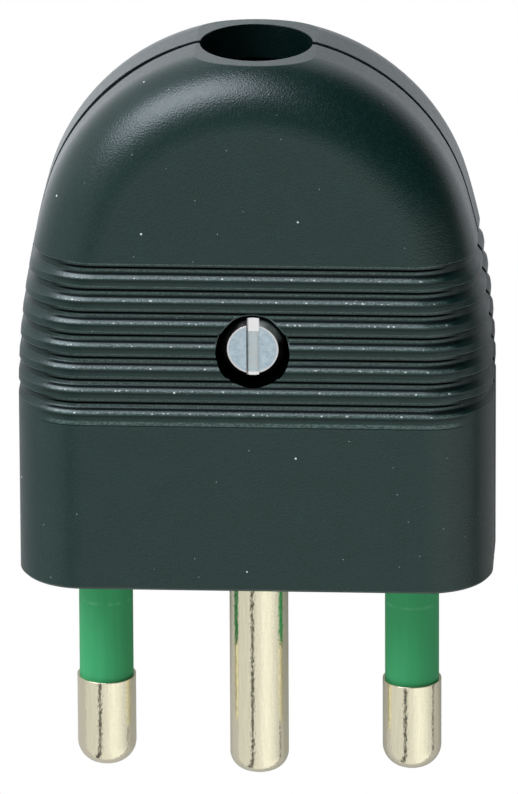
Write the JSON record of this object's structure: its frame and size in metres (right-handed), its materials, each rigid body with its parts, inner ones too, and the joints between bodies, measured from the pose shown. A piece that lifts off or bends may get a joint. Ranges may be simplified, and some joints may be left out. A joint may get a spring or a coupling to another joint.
{
  "type": "grounded plug",
  "caption": "Grounded mains plug for rewiring: split domed housing with grip grooves and a cable entry, round pins in a row, the outer ones part-sleeved.",
  "frame": {"origin": "earth pin's axis where it leaves the pin face, on the plane where the two shells meet", "axes": "+X along the pin row, +Y from the pin face to the cable entry, +Z out of the front face; the plug lies on its rear face"},
  "size_m": [0.04, 0.0653, 0.0176],
  "materials": {
    "housing": "satin moulded",
    "pin_metal": "nickel plated brass",
    "sleeve": "semi-gloss",
    "zinc_screw": "zinc plated",
    "insert": "turned",
    "clamp": "moulded"
  },
  "bodies": {
    "root": {"front_shell": "housing", "rear_shell": "housing", "live_pin": "pin_metal", "neutral_pin": "pin_metal", "earth_pin": "pin_metal", "live_sleeve": "sleeve", "neutral_sleeve": "sleeve", "live_terminal_screw": "zinc_screw", "neutral_terminal_screw": "zinc_screw", "earth_terminal_screw": "zinc_screw", "housing_screw": "zinc_screw", "threaded_insert": "insert", "cord_clamp": "clamp", "left_clamp_screw": "zinc_screw", "right_clamp_screw": "zinc_screw"}
  },
  "joints": []
}
